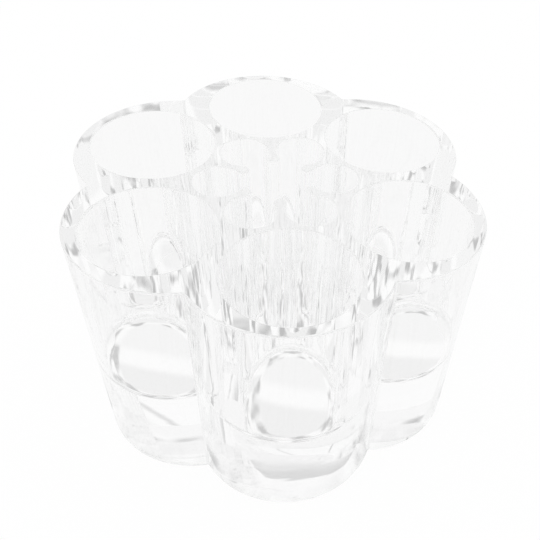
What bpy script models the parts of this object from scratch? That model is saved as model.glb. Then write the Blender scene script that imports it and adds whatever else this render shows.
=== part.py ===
"""Clear flower-shaped holder for nail brushes, modelled as its separate pieces.

A block with six through bores and a lobed centre opening is bonded to a thick plate. The plate's
top has a dished recess under every bore and a lobed one under the opening, and these are the
floors of the wells. The holder stands on the plate's flat underside.
The origin is at the bottom centre of the holder, +Z is up, and lengths are in metres.
"""

import math

import bmesh
import bpy
from mathutils import Vector

COLLECTION_NAME = "nail_brush_holder"
CUTTER_COLLECTION_NAME = "nail_brush_holder_cutters"

# The wells, each a round bore over a dished floor
WELL_COUNT = 6
FIRST_WELL_DIRECTION = math.radians(90.0)
WELL_RADIUS = 0.0147
WELL_DEPTH = 0.0386
FLOOR_FILLET_RADIUS = 0.0030
FLOOR_THICKNESS = 0.0240

# The outer outline, whose round petals meet in filleted valleys
PETAL_TIP_WALL = 0.0028
PETAL_SIDE_WALL = 0.0089
VALLEY_FILLET_RADIUS = 0.0008

# The centre opening, whose lobes each take one brush and are parted by webs with round ends
LOBE_RADIUS = 0.0059
LOBE_WALL = 0.0017
WEB_NECK = 0.0018
WEB_END_SWELL = 0.0006

# The polished edges and the cemented joint
EDGE_ROUND = 0.0004
BOND_GAP = 0.0003

# How far a cutter runs past what it cuts
CUT_OVERRUN = 0.0020

# How finely the round stretches are stepped
WELL_STEPS = 48
FLOOR_FILLET_STEPS = 5
PETAL_STEPS = 22
VALLEY_STEPS = 4
LOBE_STEPS = 20
WEB_END_STEPS = 8
EDGE_RESOLUTION = 0
SHARP_ANGLE = math.radians(35.0)
MERGE_DISTANCE = 0.00001

# Places that follow from the sizes above
PITCH = 2.0 * math.pi / WELL_COUNT
LOBE_RING_RADIUS = (2.0 * LOBE_RADIUS + WEB_NECK) / (2.0 * math.sin(PITCH / 2.0))
WEB_END_RADIUS = WEB_NECK / 2.0 + WEB_END_SWELL
LOBE_TO_WELL = WELL_RADIUS + LOBE_WALL + LOBE_RADIUS
LOBE_ACROSS = LOBE_RING_RADIUS * math.sin(PITCH / 2.0)
LOBE_ALONG = LOBE_RING_RADIUS * math.cos(PITCH / 2.0)
WELL_RING_RADIUS = LOBE_ALONG + math.sqrt(LOBE_TO_WELL ** 2 - LOBE_ACROSS ** 2)
PETAL_RADIUS = WELL_RADIUS + PETAL_SIDE_WALL
PETAL_REACH = WELL_RING_RADIUS + WELL_RADIUS + PETAL_TIP_WALL
PETAL_RING_RADIUS = PETAL_REACH - PETAL_RADIUS
PLATE_THICKNESS = FLOOR_THICKNESS + FLOOR_FILLET_RADIUS
BLOCK_BOTTOM = PLATE_THICKNESS + BOND_GAP
HOLDER_HEIGHT = FLOOR_THICKNESS + WELL_DEPTH


def clear_scene():
    """Removes every object, so that the script can be run again."""
    for old in list(bpy.data.objects):
        bpy.data.objects.remove(old, do_unlink=True)


def new_collection(name):
    """Makes a collection in the scene."""
    collection = bpy.data.collections.new(name)
    bpy.context.scene.collection.children.link(collection)
    return collection


def clear_plastic(name, colour, roughness, refraction):
    """Makes a clear, colourless plastic with a polished surface."""
    material = bpy.data.materials.new(name)
    material.use_nodes = True
    shader = material.node_tree.nodes["Principled BSDF"]
    shader.inputs["Base Color"].default_value = (*colour, 1.0)
    shader.inputs["Roughness"].default_value = roughness
    shader.inputs["Metallic"].default_value = 0.0
    shader.inputs["IOR"].default_value = refraction
    shader.inputs["Transmission Weight"].default_value = 1.0
    return material


def polar(distance, direction):
    """The point at a distance from the axis, in a direction seen from above."""
    return Vector((distance * math.cos(direction), distance * math.sin(direction)))


def well_centres():
    """The axis of each well, seen from above."""
    directions = [FIRST_WELL_DIRECTION + index * PITCH for index in range(WELL_COUNT)]
    return [polar(WELL_RING_RADIUS, direction) for direction in directions]


def arc(centre, radius, start, end, steps):
    """Points along an arc from one angle to another, without the last one."""
    angles = [start + (end - start) * step / steps for step in range(steps)]
    return [centre + polar(radius, angle) for angle in angles]


def circle(centre, radius, steps):
    """Points round a full circle, anticlockwise seen from above."""
    return arc(centre, radius, 0.0, 2.0 * math.pi, steps)


def scalloped_outline(first, lobe_ring, lobe_radius, blend_radius, blend_side, lobe_steps, blend_steps):
    """A closed chain of round lobes, joined by smaller arcs tangent to both neighbours.

    A blend lies midway between two lobes. Its centre is lobe_radius + blend_radius from both lobe
    centres, beyond the line between them for a blend_side of 1, or nearer the axis for -1. Its arc
    passes on the side that faces the axis.
    """
    half_pitch = PITCH / 2.0
    across = lobe_ring * math.sin(half_pitch)
    along = lobe_ring * math.cos(half_pitch)
    reach = math.sqrt((lobe_radius + blend_radius) ** 2 - across ** 2)
    points = []
    for index in range(WELL_COUNT):
        lobe_direction = first + index * PITCH
        blend_direction = lobe_direction + half_pitch
        lobe_centre = polar(lobe_ring, lobe_direction)
        blend_centre = polar(along + blend_side * reach, blend_direction)
        turn = math.atan2(across, blend_side * reach)
        tangent = half_pitch + turn
        points += arc(
            lobe_centre, lobe_radius, lobe_direction - tangent, lobe_direction + tangent, lobe_steps
        )
        inward = blend_direction + math.pi
        points += arc(blend_centre, blend_radius, inward + turn, inward - turn, blend_steps)
    return points


def flower_outline():
    """The outer outline of the block and the plate."""
    return scalloped_outline(
        FIRST_WELL_DIRECTION,
        PETAL_RING_RADIUS,
        PETAL_RADIUS,
        VALLEY_FILLET_RADIUS,
        1,
        PETAL_STEPS,
        VALLEY_STEPS,
    )


def centre_opening_outline():
    """The lobed opening: the lobes lie between the wells, and the webs point in along the wells."""
    return scalloped_outline(
        FIRST_WELL_DIRECTION + PITCH / 2.0,
        LOBE_RING_RADIUS,
        LOBE_RADIUS,
        WEB_END_RADIUS,
        -1,
        LOBE_STEPS,
        WEB_END_STEPS,
    )


def add_outline(curve, points, is_hole):
    """Adds one closed outline to a flat curve. A hole runs the other way round."""
    ordered = list(reversed(points)) if is_hole else points
    spline = curve.splines.new("POLY")
    spline.points.add(len(ordered) - 1)
    for target, point in zip(spline.points, ordered):
        target.co = (point.x, point.y, 0.0, 1.0)
    spline.use_cyclic_u = True


def slab_object(name, outline, holes, bottom, top, edge, collection):
    """A flat outline with holes, extruded from bottom to top, with its edges eased by edge."""
    curve = bpy.data.curves.new(name + "_outline", "CURVE")
    curve.dimensions = "2D"
    curve.fill_mode = "BOTH"
    curve.extrude = (top - bottom) / 2.0 - edge
    curve.bevel_depth = edge
    curve.bevel_resolution = EDGE_RESOLUTION
    curve.offset = -edge
    add_outline(curve, outline, False)
    for hole in holes:
        add_outline(curve, hole, True)
    guide = bpy.data.objects.new(name + "_outline", curve)
    guide.location.z = (bottom + top) / 2.0
    collection.objects.link(guide)
    return mesh_object(name, guide, collection)


def mesh_object(name, guide, collection):
    """Turns a curve object into a welded, closed mesh object and removes the curve."""
    depsgraph = bpy.context.evaluated_depsgraph_get()
    mesh = bpy.data.meshes.new_from_object(guide.evaluated_get(depsgraph))
    mesh.name = name
    shape = bmesh.new()
    shape.from_mesh(mesh)
    bmesh.ops.remove_doubles(shape, verts=shape.verts, dist=MERGE_DISTANCE)
    bmesh.ops.recalc_face_normals(shape, faces=shape.faces)
    shape.to_mesh(mesh)
    shape.free()
    mesh.shade_smooth()
    mesh.set_sharp_from_angle(angle=SHARP_ANGLE)
    piece = bpy.data.objects.new(name, mesh)
    piece.matrix_world = guide.matrix_world
    collection.objects.link(piece)
    bpy.data.objects.remove(guide, do_unlink=True)
    return piece


def box_object(name, bottom, top, collection):
    """A box wider than the holder, from bottom to top."""
    bpy.ops.mesh.primitive_cube_add(size=1.0)
    box = bpy.context.object
    box.name = name
    width = 2.0 * (PETAL_REACH + CUT_OVERRUN)
    for vertex in box.data.vertices:
        vertex.co = (vertex.co.x * width, vertex.co.y * width, vertex.co.z * (top - bottom))
    box.location.z = (bottom + top) / 2.0
    for holder in list(box.users_collection):
        holder.objects.unlink(box)
    collection.objects.link(box)
    return box


def dish_profile():
    """Half section of a well's floor, down its outer side from above the plate to the middle."""
    mouth = PLATE_THICKNESS + CUT_OVERRUN
    flat_radius = WELL_RADIUS - FLOOR_FILLET_RADIUS
    centre = Vector((flat_radius, PLATE_THICKNESS))
    fillet = arc(centre, FLOOR_FILLET_RADIUS, 0.0, -math.pi / 2.0, FLOOR_FILLET_STEPS)
    foot = [Vector((flat_radius, FLOOR_THICKNESS)), Vector((0.0, FLOOR_THICKNESS))]
    return [Vector((0.0, mouth)), Vector((WELL_RADIUS, mouth))] + fillet + foot


def dish_cutter(name, centre, collection):
    """The turned solid that leaves one well's dished floor in the plate."""
    points = [(point.x, 0.0, point.y) for point in dish_profile()]
    edges = [(index, index + 1) for index in range(len(points) - 1)]
    mesh = bpy.data.meshes.new(name)
    mesh.from_pydata(points, edges, [])
    cutter = bpy.data.objects.new(name, mesh)
    cutter.location = centre.to_3d()
    turning = cutter.modifiers.new("turning", "SCREW")
    turning.steps = WELL_STEPS
    turning.render_steps = WELL_STEPS
    turning.use_merge_vertices = True
    turning.merge_threshold = MERGE_DISTANCE
    collection.objects.link(cutter)
    return cutter


def cut_away(piece, cutter):
    """Cuts a cutter's shape out of a piece, and hides the cutter."""
    cut = piece.modifiers.new(cutter.name, "BOOLEAN")
    cut.operation = "DIFFERENCE"
    cut.solver = "EXACT"
    cut.object = cutter
    cutter.hide_render = True
    cutter.display_type = "WIRE"


def build_block(pieces, cutters):
    """The upper block, with its wells and its centre opening cut right through.

    Its top edges are eased and its joint face is trimmed square, so that it meets the plate whole.
    """
    bores = [circle(centre, WELL_RADIUS, WELL_STEPS) for centre in well_centres()]
    holes = bores + [centre_opening_outline()]
    start = BLOCK_BOTTOM - CUT_OVERRUN
    block = slab_object(
        "holder_block", flower_outline(), holes, start, HOLDER_HEIGHT, EDGE_ROUND, pieces
    )
    block.data.materials.append(
        clear_plastic("holder_block_acrylic", (0.95, 0.96, 0.96), 0.03, 1.49)
    )
    cut_away(block, box_object("block_joint_cutter", start - CUT_OVERRUN, BLOCK_BOTTOM, cutters))


def build_plate(pieces, cutters):
    """The thick plate that closes the wells, with the floors of the wells and of the opening."""
    end = PLATE_THICKNESS + CUT_OVERRUN
    plate = slab_object("base_plate", flower_outline(), [], 0.0, end, EDGE_ROUND, pieces)
    plate.data.materials.append(
        clear_plastic("base_plate_acrylic", (0.94, 0.95, 0.95), 0.03, 1.49)
    )
    cut_away(plate, box_object("plate_joint_cutter", PLATE_THICKNESS, end + CUT_OVERRUN, cutters))
    for index, centre in enumerate(well_centres()):
        cut_away(plate, dish_cutter("dish_cutter_%d" % (index + 1), centre, cutters))
    lobed = slab_object(
        "opening_floor_cutter", centre_opening_outline(), [], FLOOR_THICKNESS, end, 0.0, cutters
    )
    cut_away(plate, lobed)


def main():
    clear_scene()
    pieces = new_collection(COLLECTION_NAME)
    cutters = new_collection(CUTTER_COLLECTION_NAME)
    build_block(pieces, cutters)
    build_plate(pieces, cutters)


main()
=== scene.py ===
"""Clear flower-shaped nail brush holder on a white table.

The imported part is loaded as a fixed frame. Its block and its base plate are bonded with a cement
that can't be seen, so one clear body with the same outlines stands for both.
"""

import math

import bmesh
import bpy
import numpy as np
from bpy.props import (
    FloatProperty,
    FloatVectorProperty,
    IntProperty,
    PointerProperty,
    StringProperty,
)
from mathutils import Matrix, Vector


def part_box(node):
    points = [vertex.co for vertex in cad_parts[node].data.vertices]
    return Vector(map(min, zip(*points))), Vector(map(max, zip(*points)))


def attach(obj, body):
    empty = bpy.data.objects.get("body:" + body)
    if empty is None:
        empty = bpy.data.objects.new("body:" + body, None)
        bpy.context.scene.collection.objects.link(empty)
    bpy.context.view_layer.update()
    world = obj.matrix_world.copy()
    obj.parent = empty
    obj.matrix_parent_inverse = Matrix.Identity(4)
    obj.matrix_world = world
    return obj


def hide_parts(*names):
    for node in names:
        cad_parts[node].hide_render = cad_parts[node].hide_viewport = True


bl_info = {
    "name": "Nail Brush Holder",
    "version": (1, 0, 0),
    "blender": (4, 5, 0),
    "location": "View3D > Sidebar > Brush Holder",
    "description": "Makes the clear nail brush holder, its table, surroundings and camera",
    "category": "Add Mesh",
}

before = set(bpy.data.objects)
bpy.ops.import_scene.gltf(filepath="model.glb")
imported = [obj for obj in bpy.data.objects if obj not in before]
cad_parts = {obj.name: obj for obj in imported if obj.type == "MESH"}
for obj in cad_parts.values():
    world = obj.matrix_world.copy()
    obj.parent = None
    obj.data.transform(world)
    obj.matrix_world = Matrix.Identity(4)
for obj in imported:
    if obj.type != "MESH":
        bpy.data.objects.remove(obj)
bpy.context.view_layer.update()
BLOCK_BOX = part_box("holder_block")
PLATE_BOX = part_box("base_plate")

MILLIMETRE = 0.001
REACH = BLOCK_BOX[1].y
WELL_RADIUS = 14.7 * MILLIMETRE
WELL_FILLET = 3.0 * MILLIMETRE
PETAL_TIP_WALL = 2.8 * MILLIMETRE
PETAL_RADIUS = 23.6 * MILLIMETRE
PETALS = 6
PITCH = 2.0 * math.pi / PETALS
QUARTER = math.pi / 2.0
# Petals are worked out about +X and turned to these directions, the first of which is +Y
WAYS = tuple(QUARTER + index * PITCH for index in range(PETALS))

# Steps of the smaller arcs, as parts of a petal's steps
VALLEY_PART = 9
LOBE_PART = 2
NECK_PART = 12
TIP_PART = 4
# Steps along the sections and along the borders of the flat stretches
EDGE_STEPS = 5
RIM_ROWS = EDGE_STEPS + 1
FILLET_STEPS = 12
DISH_STEPS = 8
SPOKE_STEPS = 4
SIDE_STEPS = 8
CHORD_STEPS = 6
# Rows of faces across the flat stretches
UNDERSIDE_ROWS = 6
FLOOR_ROWS = 3
TOP_ROWS = 4
WEB_ROWS = 6
# The opening's floor spreads from a hub this far out, as a share of a lobe mouth's distance
HUB_SHARE = 1.08
WELD_DISTANCE = 1.0e-7

# Width of a polish streak as a share of its length
STREAK_SLACK = 0.002
# Noise values between which the painted pools of light and shadow under the holder go from dark to
# white
POOL_START, POOL_END = 0.34, 0.58
POOL_DISTORTION = 0.3
# Distances along the painted light, from a well pool's middle, between which its bands change
FAR_START, FAR_END = 0.0, 4.0 * MILLIMETRE
NEAR_START, NEAR_END = -6.0 * MILLIMETRE, -3.0 * MILLIMETRE
POOL_BLUR = 1.5 * MILLIMETRE
# Distances from the axis between which the painted pools fade into the open board
FADE_START, FADE_END = 0.97 * REACH, 1.1 * REACH
# Soft edges in the tent, as parts of a direction of length 1
SEAM_FADE = 0.02
GAP_BLUR = 0.004
HEM_BLUR = 0.012

# The board reaches this far, in metres, to each side of the holder
BOARD_HALF = 1.5
BOARD_POINTS = 5
# The camera's sensor in millimetres, and the nearest point it shows in metres
SENSOR_WIDTH = 36.0
NEAREST_SEEN = 0.01


def linear(code):
    """Turns an sRGB hex code such as "f4f6f6" into linear red, green, blue and an alpha of 1."""
    values = np.array([int(code[place : place + 2], 16) for place in (0, 2, 4)]) / 255.0
    low = values / 12.92
    high = ((values + 0.055) / 1.055) ** 2.4
    return (*np.where(values <= 0.04045, low, high), 1.0)


class HolderSizes(bpy.types.PropertyGroup):
    """Sizes of the clear body. They follow the outlines of the part."""

    ring_radius: FloatProperty(
        name="Well Ring Radius",
        description="Distance of each well's axis from the middle",
        default=REACH - PETAL_TIP_WALL - WELL_RADIUS,
        unit="LENGTH",
    )
    well_radius: FloatProperty(
        name="Well Radius",
        description="Radius of a round well",
        default=WELL_RADIUS,
        unit="LENGTH",
    )
    petal_ring: FloatProperty(
        name="Petal Ring Radius",
        description="Distance of each petal's centre of curvature from the middle",
        default=REACH - PETAL_RADIUS,
        unit="LENGTH",
    )
    petal_radius: FloatProperty(
        name="Petal Radius",
        description="Radius of a petal's outside",
        default=PETAL_RADIUS,
        unit="LENGTH",
    )
    valley_radius: FloatProperty(
        name="Valley Radius",
        description="Radius of the fillet between two petals",
        default=0.8 * MILLIMETRE,
        unit="LENGTH",
    )
    lobe_ring: FloatProperty(
        name="Lobe Ring Radius",
        description="Distance of the centre opening's lobes from the middle",
        default=13.6 * MILLIMETRE,
        unit="LENGTH",
    )
    lobe_radius: FloatProperty(
        name="Lobe Radius",
        description="Radius of a lobe of the centre opening",
        default=5.9 * MILLIMETRE,
        unit="LENGTH",
    )
    web_radius: FloatProperty(
        name="Web End Radius",
        description="Radius of the round end of a web between two lobes",
        default=1.5 * MILLIMETRE,
        unit="LENGTH",
    )
    bottom: FloatProperty(
        name="Underside Height",
        description="Height of the flat underside",
        default=PLATE_BOX[0].z,
        unit="LENGTH",
    )
    floor: FloatProperty(
        name="Floor Height",
        description="Height of the flat floors of the wells and of the centre opening",
        default=PLATE_BOX[1].z - WELL_FILLET,
        unit="LENGTH",
    )
    top: FloatProperty(
        name="Top Height",
        description="Height of the flat top",
        default=BLOCK_BOX[1].z,
        unit="LENGTH",
    )
    well_fillet: FloatProperty(
        name="Well Fillet",
        description="Radius between a well's wall and its floor",
        default=WELL_FILLET,
        unit="LENGTH",
    )
    floor_dish: FloatProperty(
        name="Floor Dish",
        description="How far the middle of a well's floor lies below its edge",
        default=0.3 * MILLIMETRE,
        unit="LENGTH",
    )
    lobe_fillet: FloatProperty(
        name="Opening Fillet",
        description="Radius between the centre opening's wall and its floor",
        default=0.5 * MILLIMETRE,
        unit="LENGTH",
    )
    edge_round: FloatProperty(
        name="Edge Round",
        description="Radius of the polished outer edges and rims",
        default=0.4 * MILLIMETRE,
        unit="LENGTH",
    )
    steps: IntProperty(
        name="Round Steps",
        description="Steps round a petal; the other rounds follow from it",
        default=72,
        min=16,
    )


class AcrylicFinish(bpy.types.PropertyGroup):
    """The clear plastic's look."""

    tint: StringProperty(
        name="Tint",
        description="Colour that light keeps at each crossing, as an sRGB hex code",
        default="fefefe",
    )
    refraction: FloatProperty(
        name="Refraction",
        description="Index of refraction of the acrylic",
        default=1.49,
        min=1.0,
    )
    absorption: FloatProperty(
        name="Absorption",
        description="How strongly a metre of acrylic dims the light, which greys only long paths",
        default=0.2,
        min=0.0,
    )
    streak_pitch: FloatProperty(
        name="Streak Pitch",
        description="Distance across one of the faint upright polish streaks in a well",
        default=1.3 * MILLIMETRE,
        unit="LENGTH",
    )
    streak_height: FloatProperty(
        name="Streak Height",
        description="How far the streaks stand up or down",
        default=0.02 * MILLIMETRE,
        unit="LENGTH",
    )
    ripple_pitch: FloatProperty(
        name="Ripple Pitch",
        description="Distance across one of the soft waves that flame polish leaves on every face",
        default=7.0 * MILLIMETRE,
        unit="LENGTH",
    )
    ripple_height: FloatProperty(
        name="Ripple Height",
        description="How far those waves stand up or down",
        default=0.003 * MILLIMETRE,
        unit="LENGTH",
    )


class StageSettings(bpy.types.PropertyGroup):
    """Table, surroundings and camera."""

    open_glow: FloatProperty(
        name="Open Table Glow",
        description="Share of plain white in the open table; the rest keeps the holder's shadow",
        default=0.97,
        min=0.0,
        max=1.0,
    )
    # Through the acrylic the table's glow is not plain white but the painted pools of light and
    # shadow
    glass_glow: FloatProperty(
        name="Table Glow",
        description="Share of plain white in the table seen through the acrylic; the rest is shading",
        default=0.85,
        min=0.0,
        max=1.0,
    )
    # The settings from here to Pool Direction shape painted light and shadow: a pattern in the
    # table's glow under the holder
    pool_dark: FloatProperty(
        name="Pool Dark",
        description="Darkest brightness of the pools under the holder, 1 is white",
        default=0.5,
    )
    board_shade: FloatProperty(
        name="Board Shade",
        description="Brightness of the board beyond the holder as the acrylic shows it",
        default=0.96,
    )
    well_light: FloatProperty(
        name="Far Shade",
        description="Brightness of the far part of a well's pool of light, 1 is white",
        default=0.93,
    )
    well_shade: FloatProperty(
        name="Near Shade",
        description="Brightness of the near part of a well's pool of light, 1 is white",
        default=0.88,
    )
    pool_pitch: FloatProperty(
        name="Pool Pitch",
        description="Distance from one pool of light under the holder to the next",
        default=8.0 * MILLIMETRE,
        unit="LENGTH",
    )
    pool_slant: FloatProperty(
        name="Pool Slant",
        description="How far the light slants while it goes down through a well's floor",
        default=11.5 * MILLIMETRE,
        unit="LENGTH",
    )
    pool_turn: FloatProperty(
        name="Pool Direction",
        description="Direction in which that light slants",
        default=math.radians(76.0),
        subtype="ANGLE",
    )
    table_gap: FloatProperty(
        name="Table Gap",
        description="Film of air between the underside and the table",
        default=0.1 * MILLIMETRE,
        unit="LENGTH",
    )
    bounces: IntProperty(
        name="Light Bounces",
        description="How often light may bounce inside the acrylic before it is given up",
        default=64,
        min=8,
    )
    cloth: FloatProperty(
        name="Tent Cloth",
        description="Brightness of the tent's lit cloth, 1 is white",
        default=1.0,
    )
    seam: FloatProperty(
        name="Tent Seam",
        description="Brightness of the seams between the tent's cloths, 1 is white",
        default=0.5,
    )
    seam_width: FloatProperty(
        name="Seam Width",
        description="Angle that a seam covers, seen from the holder",
        default=math.radians(2.0),
        subtype="ANGLE",
    )
    seam_turn: FloatProperty(
        name="Seam Turn",
        description="Direction of the first seam",
        default=math.radians(20.0),
        subtype="ANGLE",
    )
    seam_end: FloatProperty(
        name="Seam End",
        description="Height angle at which the seams end",
        default=math.radians(54.0),
        subtype="ANGLE",
    )
    seams: IntProperty(
        name="Seams",
        description="How many upright seams the tent has",
        default=9,
        min=1,
    )
    gap: FloatProperty(
        name="Tent Gap",
        description="Darkest brightness of the gap between the cloth and the overhead soft box",
        default=0.68,
    )
    gap_rise: FloatProperty(
        name="Gap Height",
        description="Height angle of the overhead soft box's straight back edge",
        default=math.radians(59.4),
        subtype="ANGLE",
    )
    gap_turn: FloatProperty(
        name="Gap Direction",
        description="Direction that the overhead soft box's back edge faces",
        default=math.radians(105.0),
        subtype="ANGLE",
    )
    hem: FloatProperty(
        name="Tent Hem",
        description="Brightness of the hem that runs round the cloth, 1 is white",
        default=0.75,
    )
    hem_drop: FloatProperty(
        name="Hem Drop",
        description="How far the hem runs under the soft box's edges, as a share of the distance",
        default=0.092,
    )
    gap_depth: FloatProperty(
        name="Gap Depth",
        description="How gently the back cloth darkens towards the gap, as a share of the distance",
        default=0.075,
    )
    azimuth: FloatProperty(
        name="Camera Azimuth",
        description="Direction of the camera round the holder",
        default=math.radians(-14.1165),
        subtype="ANGLE",
    )
    elevation: FloatProperty(
        name="Camera Elevation",
        description="Height angle of the camera",
        default=math.radians(48.2829),
        subtype="ANGLE",
    )
    roll: FloatProperty(
        name="Camera Roll",
        description="Lean of the camera",
        default=math.radians(6.7073),
        subtype="ANGLE",
    )
    distance: FloatProperty(
        name="Camera Distance",
        description="Distance of the camera from its target",
        default=201.2018 * MILLIMETRE,
        unit="LENGTH",
    )
    target: FloatVectorProperty(
        name="Camera Target",
        description="Point looked at, before the turn by the azimuth",
        default=(21.7879 * MILLIMETRE, 0.0, 5.7187 * MILLIMETRE),
        subtype="TRANSLATION",
    )
    lens: FloatProperty(name="Lens", description="Focal length in millimetres", default=45.0061)
    shift: FloatVectorProperty(
        name="Lens Shift",
        description="Shift of the frame, as a share of its width",
        size=2,
        default=(-0.14815, 0.14815),
    )


def arc(centre, radius, start, end, steps, side):
    """Points on an arc, and unit normals that point away from its centre (side 1) or to it (-1).

    Both are functions of one angle: centre + radius * (cos, sin), and side * (cos, sin).
    """
    angles = np.linspace(start, end, steps + 1)
    rays = np.stack((np.cos(angles), np.sin(angles)), axis=1)
    return centre + radius * rays, side * rays


def polar(distance, angle):
    """The point at a distance from the axis in a direction."""
    return np.array((distance * math.cos(angle), distance * math.sin(angle)))


def turned(rows, angle):
    """Plan points or normals, turned about the axis."""
    cosine, sine = math.cos(angle), math.sin(angle)
    return rows @ np.array(((cosine, sine), (-sine, cosine)))


def tangent_turn(ring, lobe, blend, side):
    """Centre distance of the blend arc between two lobes, and its half angle.

    The blend arc touches both lobes, so its centre is lobe + blend away from each lobe centre. It
    lies on the line midway between them, at ring * cos(pitch / 2) + side * reach.
    """
    across = ring * math.sin(PITCH / 2.0)
    reach = math.sqrt((lobe + blend) ** 2 - across**2)
    return ring * math.cos(PITCH / 2.0) + side * reach, math.atan2(across, side * reach)


def joined(*pieces):
    """Joins arcs end to end. A later arc's first point is the last one of the arc before it."""
    points = [pieces[0][0]] + [piece[0][1:] for piece in pieces[1:]]
    normals = [pieces[0][1]] + [piece[1][1:] for piece in pieces[1:]]
    return np.concatenate(points), np.concatenate(normals)


def petal_arcs(sizes):
    """One petal's outside about the +X direction, from valley middle to valley middle.

    It is the petal's arc, with a blend arc in the valley at each end that touches it.
    """
    blend_ring, turn = tangent_turn(sizes.petal_ring, sizes.petal_radius, sizes.valley_radius, 1)
    half = PITCH / 2.0
    reach = half + turn
    blend, steps = sizes.valley_radius, sizes.steps // VALLEY_PART
    inward = math.pi - half
    low = arc(polar(blend_ring, -half), blend, inward, inward - turn, steps, -1)
    middle = arc(polar(sizes.petal_ring, 0.0), sizes.petal_radius, -reach, reach, sizes.steps, 1)
    inward = math.pi + half
    high = arc(polar(blend_ring, half), blend, inward + turn, inward, steps, -1)
    return joined(low, middle, high)


def web_arcs(sizes):
    """The opening's wall about the +X direction, from lobe middle round a web to lobe middle.

    It is half a lobe's arc, the arc of the web's round end that touches both lobes, and half the
    next lobe's arc. The index of the point where the web's neck starts is given with it.
    """
    blend_ring, turn = tangent_turn(sizes.lobe_ring, sizes.lobe_radius, sizes.web_radius, -1)
    half = PITCH / 2.0
    reach = half + turn
    neck = half + QUARTER
    wide, narrow, tip = (sizes.steps // part for part in (LOBE_PART, NECK_PART, TIP_PART))
    centre = polar(sizes.lobe_ring, -half)
    low = arc(centre, sizes.lobe_radius, -half, neck - half, wide, 1)
    low_neck = arc(centre, sizes.lobe_radius, neck - half, reach - half, narrow, 1)
    end = polar(blend_ring, 0.0)
    low_tip = arc(end, sizes.web_radius, math.pi + turn, math.pi, tip, -1)
    high_tip = arc(end, sizes.web_radius, math.pi, math.pi - turn, tip, -1)
    centre = polar(sizes.lobe_ring, half)
    high_neck = arc(centre, sizes.lobe_radius, half - reach, half - neck, narrow, 1)
    high = arc(centre, sizes.lobe_radius, half - neck, half, wide, 1)
    return joined(low, low_neck, low_tip, high_tip, high_neck, high), wide


def ring_of(period):
    """Six turned copies of one period, joined to a closed loop without repeated points."""
    points, normals = period
    ways = [index * PITCH for index in range(PETALS)]
    loop = np.concatenate([turned(points[:-1], way) for way in ways])
    return loop, np.concatenate([turned(normals[:-1], way) for way in ways])


def offset(line, distance):
    """A line moved along its own normals."""
    return line[0] + distance * line[1]


class Skin:
    """Collects the grids of a closed surface, with their exact normals."""

    def __init__(self):
        self.points, self.normals, self.tooled, self.faces = [], [], [], []
        self.count = 0

    def add_grid(self, points, normals, tooled=0.0, closed=False):
        """Adds a grid of rows and columns, its faces turned to the side that the normals show."""
        rows, columns = points.shape[:2]
        index = np.arange(rows * columns).reshape(rows, columns)
        right = np.roll(index, -1, axis=1) if closed else index[:, 1:]
        left = index if closed else index[:, :-1]
        a, b, c, d = left[:-1], right[:-1], right[1:], left[1:]
        quads = np.stack((a, b, c, d), axis=-1).reshape(-1, 4)
        flat, sides = points.reshape(-1, 3), normals.reshape(-1, 3)
        across = flat[quads[:, 2]] - flat[quads[:, 0]]
        facing = np.cross(across, flat[quads[:, 3]] - flat[quads[:, 1]])
        wrong = (facing * sides[quads].sum(axis=1)).sum(axis=1) < 0.0
        quads[wrong] = quads[wrong][:, ::-1]
        self.points.append(flat)
        self.normals.append(sides)
        self.tooled.append(np.broadcast_to(tooled, (rows, columns)).reshape(-1))
        self.faces.append(quads + self.count)
        self.count += rows * columns

    def sweep(self, line, profile, tooled=0.0):
        """Carries a profile round a closed plan line.

        Row j, column i is line[i] + normal[i] * offset[j] at height[j]. Its normal is
        normal[i] * lean[j] with an upward part of rise[j].
        """
        points, sides = line
        offsets, heights, leans, rises = profile.T
        plan = points[None] + sides[None] * offsets[:, None, None]
        level = np.broadcast_to(heights[:, None, None], plan.shape[:2] + (1,))
        rise = np.broadcast_to(rises[:, None, None], plan.shape[:2] + (1,))
        lean = sides[None] * leans[:, None, None]
        body = np.concatenate((plan, level), axis=2)
        marks = np.broadcast_to(np.asarray(tooled, float).reshape(-1, 1), plan.shape[:2])
        self.add_grid(body, np.concatenate((lean, rise), axis=2), marks, closed=True)

    def spread(self, inner, outer, height, rise, rows, closed=False):
        """A flat stretch between two plan lines: inner + (outer - inner) * v, v from 0 to 1."""
        part = np.linspace(0.0, 1.0, rows + 1)[:, None, None]
        plan = inner[None] + (outer - inner)[None] * part
        level = np.full(plan.shape[:2] + (1,), height)
        normals = np.zeros(plan.shape[:2] + (3,))
        normals[..., 2] = rise
        self.add_grid(np.concatenate((plan, level), axis=2), normals, 0.0, closed)

    def mesh(self, name):
        """Welds the grids to one closed mesh that keeps their exact normals."""
        mesh = bpy.data.meshes.new(name)
        mesh.from_pydata(np.concatenate(self.points), [], np.concatenate(self.faces))
        side = mesh.attributes.new("side", "FLOAT_VECTOR", "POINT")
        side.data.foreach_set("vector", np.concatenate(self.normals).astype(np.float32).ravel())
        tooled = mesh.attributes.new("tooled", "FLOAT", "POINT")
        tooled.data.foreach_set("value", np.concatenate(self.tooled).astype(np.float32))
        shape = bmesh.new()
        shape.from_mesh(mesh)
        bmesh.ops.remove_doubles(shape, verts=shape.verts, dist=WELD_DISTANCE)
        shape.to_mesh(mesh)
        shape.free()
        mesh.shade_smooth()
        normals = np.empty(len(mesh.vertices) * 3, np.float32)
        mesh.attributes["side"].data.foreach_get("vector", normals)
        mesh.attributes.remove(mesh.attributes["side"])
        mesh.normals_split_custom_set_from_vertices(normals.reshape(-1, 3))
        return mesh


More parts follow.
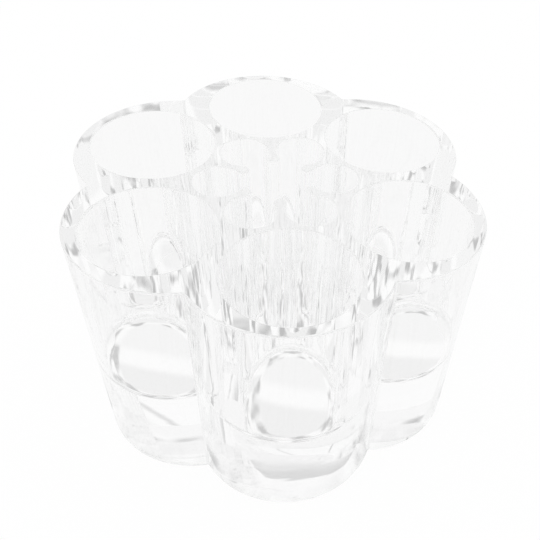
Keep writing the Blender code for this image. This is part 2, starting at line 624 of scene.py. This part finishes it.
def quarter(centre_offset, centre_height, radius, start, end, steps, side=1.0):
    """Profile rows on a round: offset, height, and the normal's outward and upward parts.

    A point is the centre + radius * (cos, sin) of an angle, and its normal is side * (cos, sin).
    """
    angles = np.linspace(start, end, steps + 1)
    cosine, sine = np.cos(angles), np.sin(angles)
    offsets = centre_offset + radius * cosine
    heights = centre_height + radius * sine
    return np.stack((offsets, heights, side * cosine, side * sine), axis=1)


def outside_profile(sizes):
    """The outer wall's section, from the underside's edge up to the top's edge."""
    edge = sizes.edge_round
    low = quarter(-edge, sizes.bottom + edge, edge, -QUARTER, 0.0, EDGE_STEPS)
    high = quarter(-edge, sizes.top - edge, edge, 0.0, QUARTER, EDGE_STEPS)
    return np.concatenate((low, high))


def hollow_profile(sizes, fillet):
    """A hollow's section, from the rim on the top down the wall and its fillet to the floor."""
    edge = sizes.edge_round
    rim = quarter(edge, sizes.top - edge, edge, QUARTER, math.pi, EDGE_STEPS)
    foot = quarter(-fillet, sizes.floor + fillet, fillet, 0.0, -QUARTER, FILLET_STEPS, -1.0)
    return np.concatenate((rim, foot))


def below_rim(profile):
    """Marks a hollow's rows: 0 on its rounded rim, and 1 on the wall and floor under it."""
    return (np.arange(len(profile)) >= RIM_ROWS).astype(float)


def dish_profile(sizes):
    """A well floor's section: height floor - dish * (1 - share ** 2), with share 1 at its edge.

    The slope of that bowl at a share is 2 * dish * share / radius, and the normal leans against it.
    """
    radius = sizes.well_radius - sizes.well_fillet
    share = np.linspace(1.0, 0.0, DISH_STEPS + 1)
    slope = 2.0 * sizes.floor_dish * share / radius
    length = np.hypot(slope, 1.0)
    height = sizes.floor - sizes.floor_dish * (1.0 - share**2)
    return np.stack(((share - 1.0) * radius, height, -slope / length, 1.0 / length), axis=1)


def add_outside(skin, sizes, outside):
    """The outer wall and the flat underside, which spreads from the axis to the wall's edge."""
    skin.sweep(outside, outside_profile(sizes))
    edge = offset(outside, -sizes.edge_round)
    skin.spread(edge * 0.0, edge, sizes.bottom, -1.0, UNDERSIDE_ROWS, closed=True)


def add_centre_opening(skin, sizes, opening, web):
    """The lobed opening's wall and its floor, which spreads from a hub near each lobe's mouth."""
    profile = hollow_profile(sizes, sizes.lobe_fillet)
    skin.sweep(opening, profile, below_rim(profile))
    half = PITCH / 2.0
    edge = offset(web, -sizes.lobe_fillet)
    tip = len(edge) // 2
    lobe = np.concatenate((turned(edge[tip:], -PITCH), edge[1 : tip + 1]))
    spoke = np.linspace(0.0, 1.0, SPOKE_STEPS + 1)[:-1, None]
    border = np.concatenate((lobe[0] * spoke, lobe, lobe[-1] * spoke[:0:-1], lobe[:1] * 0.0))
    reach = HUB_SHARE * np.hypot(*lobe[0])
    hub = np.broadcast_to(polar(reach, -half), border.shape)
    for way in WAYS:
        skin.spread(turned(hub, way), turned(border, way), sizes.floor, 1.0, FLOOR_ROWS)


def add_wells(skin, sizes, petal, web, neck):
    """Each well with the flat top about it.

    The top is a cell that every ray from the well's axis leaves once, so its grid runs from the
    well's rim straight out to the cell's border. The well's own steps lie on the same rays.
    """
    edge = sizes.edge_round
    outer = offset(petal, -edge)
    inner = offset(web, edge)
    last = len(inner) - 1
    along = np.linspace(0.0, 1.0, SIDE_STEPS + 1)[1:-1, None]
    side = outer[-1] + (inner[last] - outer[-1]) * along
    across = np.linspace(0.0, 1.0, CHORD_STEPS + 1)[1:-1, None]
    chord = inner[last - neck] + (inner[neck] - inner[last - neck]) * across
    back = np.stack((side[::-1, 0], -side[::-1, 1]), axis=1)
    lobe_high, lobe_low = inner[last : last - neck - 1 : -1], inner[neck::-1]
    border = np.concatenate((outer, side, lobe_high, chord, lobe_low, back, outer[:1]))
    centre = polar(sizes.ring_radius, 0.0)
    rays = (border - centre) / np.hypot(*(border - centre).T)[:, None]
    rim = centre + rays * (sizes.well_radius + edge)
    wall = (centre + rays[:-1] * sizes.well_radius, rays[:-1])
    profile = hollow_profile(sizes, sizes.well_fillet)
    dish = dish_profile(sizes)
    disc = (centre + rays[:-1] * (sizes.well_radius - sizes.well_fillet), rays[:-1])
    tip = last // 2
    web_low, web_high = inner[neck : tip + 1], inner[last - neck : tip - 1 : -1]
    for way in WAYS:
        skin.spread(turned(rim, way), turned(border, way), sizes.top, 1.0, TOP_ROWS)
        skin.spread(turned(web_low, way), turned(web_high, way), sizes.top, 1.0, WEB_ROWS)
        skin.sweep((turned(wall[0], way), turned(wall[1], way)), profile, below_rim(profile))
        skin.sweep((turned(disc[0], way), turned(disc[1], way)), dish)


def body_mesh(sizes):
    """The whole clear body: outside, underside, top, wells and centre opening in one skin."""
    petal = petal_arcs(sizes)
    web, neck = web_arcs(sizes)
    outside = [turned(rows, QUARTER) for rows in ring_of(petal)]
    opening = [turned(rows, QUARTER) for rows in ring_of(web)]
    skin = Skin()
    add_outside(skin, sizes, outside)
    add_centre_opening(skin, sizes, opening, web)
    add_wells(skin, sizes, petal, web, neck)
    return skin.mesh("clear_body")


def socket_key(name):
    """A socket's index for a name such as _1, and otherwise its name with spaces."""
    return int(name[1:]) if name[1:].isdigit() else name.replace("_", " ")


def add_node(tree, kind, settings=None, **links):
    """Adds a node to a tree. Settings fill its fields or its sockets, and links join its inputs."""
    node = tree.nodes.new(kind)
    for name, value in (settings or {}).items():
        if hasattr(node, name):
            setattr(node, name, value)
        else:
            node.inputs[socket_key(name)].default_value = value
    for name, output in links.items():
        tree.links.new(output, node.inputs[socket_key(name)])
    return node


def math_node(tree, operation, *inputs):
    """One step of arithmetic. An input is a number or the output of another node."""
    settings, links = {"operation": operation}, {}
    for place, value in enumerate(inputs):
        kept = settings if isinstance(value, (int, float)) else links
        kept[f"_{place}"] = value
    return add_node(tree, "ShaderNodeMath", settings, **links).outputs[0]


def cast_acrylic(finish):
    """Clear cast acrylic with flame-polished faces: colourless, mirror smooth, bright at its edges.

    The bores keep faint upright polish streaks, which break what is seen through them into thin
    vertical lines.
    """
    material = bpy.data.materials.new("cast_acrylic_polished")
    material.use_nodes = True
    tree = material.node_tree
    tree.nodes.clear()
    place = add_node(tree, "ShaderNodeTexCoord")
    pitch = 1.0 / finish.streak_pitch
    scale = add_node(
        tree,
        "ShaderNodeMapping",
        {"Scale": (pitch, pitch, pitch * STREAK_SLACK)},
        Vector=place.outputs["Object"],
    )
    streaks = add_node(
        tree,
        "ShaderNodeTexNoise",
        {"Scale": 1.0, "Detail": 1.0, "Roughness": 0.5},
        Vector=scale.outputs[0],
    )
    tooled = add_node(tree, "ShaderNodeAttribute", {"attribute_name": "tooled"})
    height = math_node(tree, "MULTIPLY", streaks.outputs["Fac"], tooled.outputs["Fac"])
    bump = add_node(
        tree,
        "ShaderNodeBump",
        {"Strength": 1.0, "Distance": finish.streak_height},
        Height=height,
    )
    wide = 1.0 / finish.ripple_pitch
    waves = add_node(
        tree,
        "ShaderNodeTexNoise",
        {"Scale": wide, "Detail": 1.0},
        Vector=place.outputs["Object"],
    )
    bump = add_node(
        tree,
        "ShaderNodeBump",
        {"Strength": 1.0, "Distance": finish.ripple_height},
        Height=waves.outputs["Fac"],
        Normal=bump.outputs[0],
    )
    shader = add_node(
        tree,
        "ShaderNodeBsdfPrincipled",
        {
            "Base Color": linear(finish.tint),
            "Roughness": 0.0,
            "IOR": finish.refraction,
            "Transmission Weight": 1.0,
        },
        Normal=bump.outputs[0],
    )
    grey = add_node(
        tree,
        "ShaderNodeVolumeAbsorption",
        {"Color": linear("000000"), "Density": finish.absorption},
    )
    add_node(
        tree,
        "ShaderNodeOutputMaterial",
        None,
        Surface=shader.outputs[0],
        Volume=grey.outputs[0],
    )
    return material


def glow_share(tree, settings):
    """Share of the table's glow, white to the camera and painted pools to others: the camera's, the
    acrylic's or a reflection's, and 0 for other rays.
    """
    rays = add_node(tree, "ShaderNodeLightPath")
    camera = math_node(tree, "MULTIPLY", rays.outputs["Is Camera Ray"], settings.open_glow)
    through = math_node(tree, "MULTIPLY", rays.outputs["Is Transmission Ray"], settings.glass_glow)
    shown = math_node(tree, "MAXIMUM", camera, through)
    return math_node(tree, "MAXIMUM", shown, rays.outputs["Is Glossy Ray"])


def ramp(tree, value, start, end, low, high):
    """A smooth step of a value: low up to start, high from end on."""
    return add_node(
        tree,
        "ShaderNodeMapRange",
        {
            "interpolation_type": "SMOOTHSTEP",
            "From Min": start,
            "From Max": end,
            "To Min": low,
            "To Max": high,
        },
        Value=value,
    ).outputs[0]


def well_pool(tree, place, sizes, settings):
    """Where the painted pool of light under the nearest well lies: distance from its middle, and part
    along it.

    The light slants down through the floor, so each pool lies that far beyond its well. The
    nearest well's direction is the azimuth, rounded to the middle of its sixth.
    """
    way = settings.pool_turn
    slant = (settings.pool_slant * math.cos(way), settings.pool_slant * math.sin(way), 0.0)
    back = add_node(
        tree,
        "ShaderNodeVectorMath",
        {"operation": "SUBTRACT", "_1": slant},
        _0=place,
    )
    parts = add_node(tree, "ShaderNodeSeparateXYZ", None, Vector=back.outputs[0])
    azimuth = math_node(tree, "ARCTAN2", parts.outputs["Y"], parts.outputs["X"])
    sixth = math_node(tree, "ADD", math_node(tree, "SNAP", azimuth, PITCH), PITCH / 2.0)
    across = math_node(tree, "MULTIPLY", math_node(tree, "COSINE", sixth), sizes.ring_radius)
    along = math_node(tree, "MULTIPLY", math_node(tree, "SINE", sixth), sizes.ring_radius)
    axis = add_node(tree, "ShaderNodeCombineXYZ", None, X=across, Y=along)
    local = add_node(
        tree,
        "ShaderNodeVectorMath",
        {"operation": "SUBTRACT"},
        _0=back.outputs[0],
        _1=axis.outputs[0],
    ).outputs[0]
    length = add_node(tree, "ShaderNodeVectorMath", {"operation": "LENGTH"}, _0=local)
    line = (math.cos(way), math.sin(way), 0.0)
    dot = add_node(
        tree,
        "ShaderNodeVectorMath",
        {"operation": "DOT_PRODUCT", "_1": line},
        _0=local,
    )
    return length.outputs["Value"], dot.outputs["Value"]


def painted_light_pools(tree, sizes, settings):
    """Painted light and shadow: the table's glow as the acrylic shows it, not cast by any lamp.

    Light from above comes evenly through a well's floor and lies there in bands across its own
    direction: light grey, white, then grey. The walls and webs between the wells throw it into
    small pools with soft shadows, which follow noise of one pitch. Beyond the holder's outline all
    of it fades into the board's own shade.
    """
    place = add_node(tree, "ShaderNodeTexCoord").outputs["Object"]
    noise = add_node(
        tree,
        "ShaderNodeTexNoise",
        {"Scale": 1.0 / settings.pool_pitch, "Detail": 1.0, "Distortion": POOL_DISTORTION},
        Vector=place,
    )
    pools = ramp(tree, noise.outputs["Fac"], POOL_START, POOL_END, settings.pool_dark, 1.0)
    length, along = well_pool(tree, place, sizes, settings)
    far = ramp(tree, along, FAR_START, FAR_END, 1.0, settings.well_light)
    near = ramp(tree, along, NEAR_START, NEAR_END, settings.well_shade, 1.0)
    bands = math_node(tree, "MULTIPLY", far, near)
    rim = ramp(tree, length, sizes.well_radius, sizes.well_radius + POOL_BLUR, 0.0, 1.0)
    under = add_node(tree, "ShaderNodeMapRange", None, Value=rim, _3=bands, _4=pools).outputs[0]
    distance = add_node(tree, "ShaderNodeVectorMath", {"operation": "LENGTH"}, _0=place)
    fade = ramp(tree, distance.outputs["Value"], FADE_START, FADE_END, 0.0, 1.0)
    return add_node(
        tree,
        "ShaderNodeMapRange",
        {"To Max": settings.board_shade},
        Value=fade,
        _3=under,
    ).outputs[0]


def table_paint(sizes, settings):
    """Matt white painted board: white to the eye, and diffuse where it keeps the holder's shadow."""
    material = bpy.data.materials.new("table_matt_white_painted_pools")
    material.use_nodes = True
    tree = material.node_tree
    tree.nodes.clear()
    board = add_node(tree, "ShaderNodeBsdfDiffuse", {"Color": linear("ffffff")})
    rays = add_node(tree, "ShaderNodeLightPath")
    # Painted light and shadow: the pools set the glow's strength for every ray but the camera's
    through = painted_light_pools(tree, sizes, settings)
    level = math_node(tree, "MAXIMUM", rays.outputs["Is Camera Ray"], through)
    glow = add_node(tree, "ShaderNodeEmission", None, Strength=level)
    mixed = add_node(
        tree,
        "ShaderNodeMixShader",
        None,
        _0=glow_share(tree, settings),
        _1=board.outputs[0],
        _2=glow.outputs[0],
    )
    add_node(tree, "ShaderNodeOutputMaterial", None, Surface=mixed.outputs[0])
    return material


def tent_seams(tree, direction, settings):
    """Brightness of the cloth and its upright seams, which end below the overhead soft box.

    A seam is where the cosine of seams times the direction's azimuth comes near 1.
    """
    parts = add_node(tree, "ShaderNodeSeparateXYZ", None, Vector=direction)
    seams = settings.seams
    azimuth = math_node(tree, "ARCTAN2", parts.outputs["Y"], parts.outputs["X"])
    phase = math_node(tree, "MULTIPLY_ADD", azimuth, seams, -seams * settings.seam_turn)
    wave = math_node(tree, "COSINE", phase)
    edge = math.cos(seams * settings.seam_width / 2.0)
    upright = ramp(tree, wave, edge, 1.0, settings.cloth, settings.seam)
    end = math.sin(settings.seam_end)
    top = ramp(tree, parts.outputs["Z"], end - SEAM_FADE, end, 0.0, settings.cloth)
    return math_node(tree, "MAXIMUM", upright, top)


def tent_gap(tree, direction, settings):
    """Brightness of the gap round the square soft box overhead, and of the cloth's hem under it.

    A direction's height over the planes through the holder and the box's edges is its z less its
    larger part towards an edge times the tangent of the edges' height angle. The box starts at 0,
    and below it the cloth darkens towards the edge.
    """
    turned_way = add_node(
        tree,
        "ShaderNodeVectorRotate",
        {"rotation_type": "Z_AXIS", "Angle": -settings.gap_turn},
        Vector=direction,
    )
    sides = add_node(
        tree,
        "ShaderNodeVectorMath",
        {"operation": "ABSOLUTE"},
        _0=turned_way.outputs[0],
    )
    parts = add_node(tree, "ShaderNodeSeparateXYZ", None, Vector=sides.outputs[0])
    reach = math_node(tree, "MAXIMUM", parts.outputs["X"], parts.outputs["Y"])
    up = add_node(tree, "ShaderNodeSeparateXYZ", None, Vector=direction)
    slope = -math.tan(settings.gap_rise)
    height = math_node(tree, "MULTIPLY_ADD", reach, slope, up.outputs["Z"])
    cloth = ramp(tree, height, -settings.gap_depth, -GAP_BLUR, 1.0, settings.gap)
    box = ramp(tree, height, -GAP_BLUR, GAP_BLUR, 0.0, 1.0)
    from_hem = math_node(tree, "ABSOLUTE", math_node(tree, "ADD", height, settings.hem_drop))
    hem = ramp(tree, from_hem, 0.0, HEM_BLUR, settings.hem, 1.0)
    return math_node(tree, "MULTIPLY", math_node(tree, "MAXIMUM", cloth, box), hem)


def studio_room(settings):
    """White to the camera. To the acrylic it is a tent of lit cloth under an overhead soft box."""
    world = bpy.data.worlds.new("studio_tent")
    world.use_nodes = True
    tree = world.node_tree
    tree.nodes.clear()
    place = add_node(tree, "ShaderNodeTexCoord").outputs["Generated"]
    seams = tent_seams(tree, place, settings)
    level = math_node(tree, "MULTIPLY", seams, tent_gap(tree, place, settings))
    tent = add_node(tree, "ShaderNodeBackground", {"Color": linear("ffffff")}, Strength=level)
    white = add_node(tree, "ShaderNodeBackground", {"Color": linear("ffffff"), "Strength": 1.0})
    rays = add_node(tree, "ShaderNodeLightPath")
    mixed = add_node(
        tree,
        "ShaderNodeMixShader",
        None,
        _0=rays.outputs["Is Camera Ray"],
        _1=tent.outputs[0],
        _2=white.outputs[0],
    )
    add_node(tree, "ShaderNodeOutputWorld", None, Surface=mixed.outputs[0])
    return world


def table_mesh(height):
    """A square board: position (u, v) on a grid from one corner to the other, at one height."""
    line = np.linspace(-BOARD_HALF, BOARD_HALF, BOARD_POINTS)
    across, along = np.meshgrid(line, line)
    points = np.stack((across, along, np.full_like(across, height)), axis=-1).reshape(-1, 3)
    index = np.arange(BOARD_POINTS**2).reshape(BOARD_POINTS, BOARD_POINTS)
    corners = (index[:-1, :-1], index[:-1, 1:], index[1:, 1:], index[1:, :-1])
    mesh = bpy.data.meshes.new("table")
    mesh.from_pydata(points, [], np.stack(corners, axis=-1).reshape(-1, 4))
    return mesh


def place_camera(settings):
    """A camera on the photograph's ray: back from its target along the view, then leaned."""
    rise, lean = settings.elevation, settings.roll
    ahead = Vector((0.0, math.cos(rise), -math.sin(rise)))
    side = Vector((1.0, 0.0, 0.0))
    up = side.cross(ahead)
    right = math.cos(lean) * side + math.sin(lean) * up
    upright = math.cos(lean) * up - math.sin(lean) * side
    spot = Vector(settings.target) - settings.distance * ahead
    turn = Matrix.Rotation(settings.azimuth, 3, "Z")
    pose = Matrix((turn @ right, turn @ upright, turn @ -ahead)).transposed().to_4x4()
    pose.translation = turn @ spot
    lens = bpy.data.cameras.new("camera")
    lens.sensor_width = SENSOR_WIDTH
    lens.lens = settings.lens
    lens.shift_x, lens.shift_y = settings.shift
    lens.clip_start = NEAREST_SEEN
    camera = bpy.data.objects.new("camera", lens)
    camera.matrix_world = pose
    bpy.context.scene.collection.objects.link(camera)
    bpy.context.scene.camera = camera


class HOLDER_OT_clear_body(bpy.types.Operator):
    """Makes the clear body that stands for the bonded block and base plate"""

    bl_idname = "holder.clear_body"
    bl_label = "Make Clear Body"

    def execute(self, context):
        scene = context.scene
        body = bpy.data.objects.new("clear_body", body_mesh(scene.holder_sizes))
        body.data.materials.append(cast_acrylic(scene.holder_finish))
        scene.collection.objects.link(body)
        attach(body, "root")
        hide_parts("holder_block", "base_plate")
        return {"FINISHED"}


class HOLDER_OT_stage(bpy.types.Operator):
    """Makes the table, the surroundings and the camera"""

    bl_idname = "holder.stage"
    bl_label = "Make Stage"

    def execute(self, context):
        scene = context.scene
        settings = scene.holder_stage
        table = bpy.data.objects.new("table", table_mesh(-settings.table_gap))
        table.data.materials.append(table_paint(scene.holder_sizes, settings))
        scene.collection.objects.link(table)
        scene.world = studio_room(settings)
        place_camera(settings)
        scene.cycles.max_bounces = settings.bounces
        scene.cycles.glossy_bounces = settings.bounces
        scene.cycles.transmission_bounces = settings.bounces
        scene.view_settings.view_transform = "Standard"
        return {"FINISHED"}


class HOLDER_PT_panel(bpy.types.Panel):
    """Lists the settings and the steps that make the holder"""

    bl_label = "Brush Holder"
    bl_space_type = "VIEW_3D"
    bl_region_type = "UI"
    bl_category = "Brush Holder"

    def draw(self, context):
        scene = context.scene
        for group in (scene.holder_sizes, scene.holder_finish, scene.holder_stage):
            column = self.layout.column()
            for name in group.__annotations__:
                column.prop(group, name)
        for step in STEPS:
            self.layout.operator(step.bl_idname)


GROUPS = {
    "holder_sizes": HolderSizes,
    "holder_finish": AcrylicFinish,
    "holder_stage": StageSettings,
}
STEPS = (HOLDER_OT_clear_body, HOLDER_OT_stage)


def register():
    for group in GROUPS.values():
        bpy.utils.register_class(group)
    for name, group in GROUPS.items():
        setattr(bpy.types.Scene, name, PointerProperty(type=group))
    for kind in (*STEPS, HOLDER_PT_panel):
        bpy.utils.register_class(kind)


def unregister():
    for kind in (HOLDER_PT_panel, *reversed(STEPS)):
        bpy.utils.unregister_class(kind)
    for name in GROUPS:
        delattr(bpy.types.Scene, name)
    for group in reversed(GROUPS.values()):
        bpy.utils.unregister_class(group)


def main():
    register()
    bpy.ops.holder.clear_body()
    bpy.ops.holder.stage()


if __name__ == "__main__":
    main()
